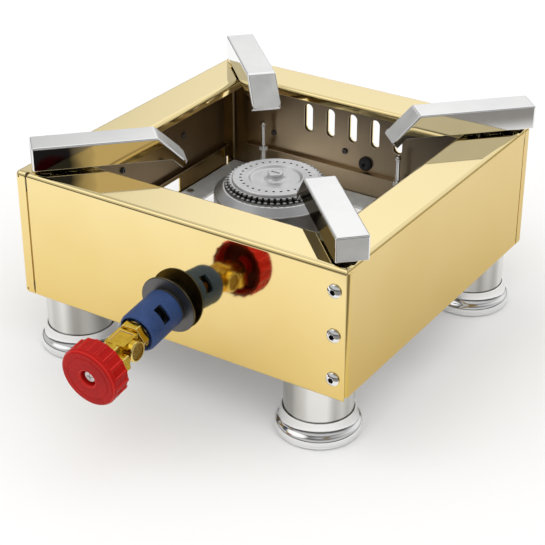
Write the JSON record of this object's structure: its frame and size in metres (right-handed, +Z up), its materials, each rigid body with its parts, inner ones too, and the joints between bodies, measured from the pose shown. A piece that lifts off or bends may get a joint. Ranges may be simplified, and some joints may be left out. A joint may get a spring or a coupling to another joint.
{
  "type": "commercial gas burner",
  "caption": "Square table-top gas burner of polished gold-tone sheet with corner pan fingers, round burner head, red valve knob and levelling feet.",
  "frame": {"origin": "on the floor, in the middle of the outline in plan, so the box stands behind it and the knob in front of it", "axes": "+Z up, -Y the way the front panel and knob face, +X to the right as seen from the front"},
  "size_m": [0.3096, 0.4124, 0.182],
  "materials": {
    "gold_sheet": "mirror polished, pale gold tone",
    "polished_steel": "mirror polished",
    "dark_liner": "satin, darkened by heat",
    "zinc_steel": "dull zinc plate",
    "satin_steel": "fine satin",
    "black_steel": "satin black",
    "black_rubber": "matte",
    "cast_burner": "bead blasted casting",
    "brass": "turned, slightly dull",
    "blue_sleeve": "blue anodised",
    "red_knob": "semi gloss"
  },
  "bodies": {
    "box": {"front_panel": "gold_sheet", "right_panel": "gold_sheet", "rear_panel": "gold_sheet", "left_panel": "gold_sheet", "panel_screws": "polished_steel", "liner_front": "dark_liner", "liner_right": "dark_liner", "liner_rear": "dark_liner", "liner_left": "dark_liner", "liner_spacers": "zinc_steel", "liner_screws": "black_steel", "rear_grommet": "black_rubber", "base_frame": "zinc_steel", "base_rivets": "zinc_steel", "rear_rods": "zinc_steel", "rear_rod_nuts": "zinc_steel", "corner_plates": "zinc_steel", "finger_fl": "polished_steel", "finger_fr": "polished_steel", "finger_rr": "polished_steel", "finger_rl": "polished_steel", "finger_spacers": "zinc_steel", "finger_bolts": "zinc_steel", "post_fl": "satin_steel", "post_fr": "satin_steel", "post_rr": "satin_steel", "post_rl": "satin_steel", "foot_bolts": "zinc_steel", "crossbar": "zinc_steel", "crossbar_screws": "zinc_steel", "burner_pillars": "zinc_steel", "pillar_screws": "zinc_steel", "burner_bowl": "cast_burner", "port_ring": "cast_burner", "burner_cap": "cast_burner", "cap_screw": "cast_burner", "mixing_tube": "zinc_steel", "tube_screw": "zinc_steel", "panel_bush": "black_rubber", "shield_disc": "black_steel", "air_tube": "brass", "injector": "brass", "valve_body": "brass", "inlet_stub": "brass", "side_stub": "brass", "valve_bonnet": "brass", "spindle_seal": "black_rubber"},
    "knob": {"knob": "red_knob", "knob_screw": "brass", "spindle": "zinc_steel"},
    "needle": {"needle": "brass"},
    "air_sleeve": {"air_sleeve": "blue_sleeve"},
    "foot_fl": {"foot_fl": "polished_steel", "pad_fl": "black_rubber"},
    "foot_fr": {"foot_fr": "polished_steel", "pad_fr": "black_rubber"},
    "foot_rr": {"foot_rr": "polished_steel", "pad_rr": "black_rubber"},
    "foot_rl": {"foot_rl": "polished_steel", "pad_rl": "black_rubber"}
  },
  "joints": [
    {"name": "knob_turn", "type": "hinge", "parent": "box", "child": "knob", "pos_m": [-0.0018, -0.19449, 0.07678], "axis": [0, -0.9903, -0.1392], "range_deg": [0, 720]},
    {"name": "needle_lift", "type": "slide", "parent": "box", "child": "needle", "axis": [0, -0.9903, -0.1392], "range_m": [0, 0.003]},
    {"name": "sleeve_turn", "type": "hinge", "parent": "box", "child": "air_sleeve", "pos_m": [-0.0018, -0.12913, 0.08596], "axis": [0, -0.9903, -0.1392], "range_deg": [0, 45]},
    {"name": "level_fl", "type": "slide", "parent": "box", "child": "foot_fl", "axis": [0, 0, -1], "range_m": [0, 0.012]},
    {"name": "level_fr", "type": "slide", "parent": "box", "child": "foot_fr", "axis": [0, 0, -1], "range_m": [0, 0.012]},
    {"name": "level_rr", "type": "slide", "parent": "box", "child": "foot_rr", "axis": [0, 0, -1], "range_m": [0, 0.012]},
    {"name": "level_rl", "type": "slide", "parent": "box", "child": "foot_rl", "axis": [0, 0, -1], "range_m": [0, 0.012]}
  ],
  "couplings": [
    {"joint": "needle_lift", "follows": "knob_turn", "m_per_rad": 0.00023873}
  ]
}
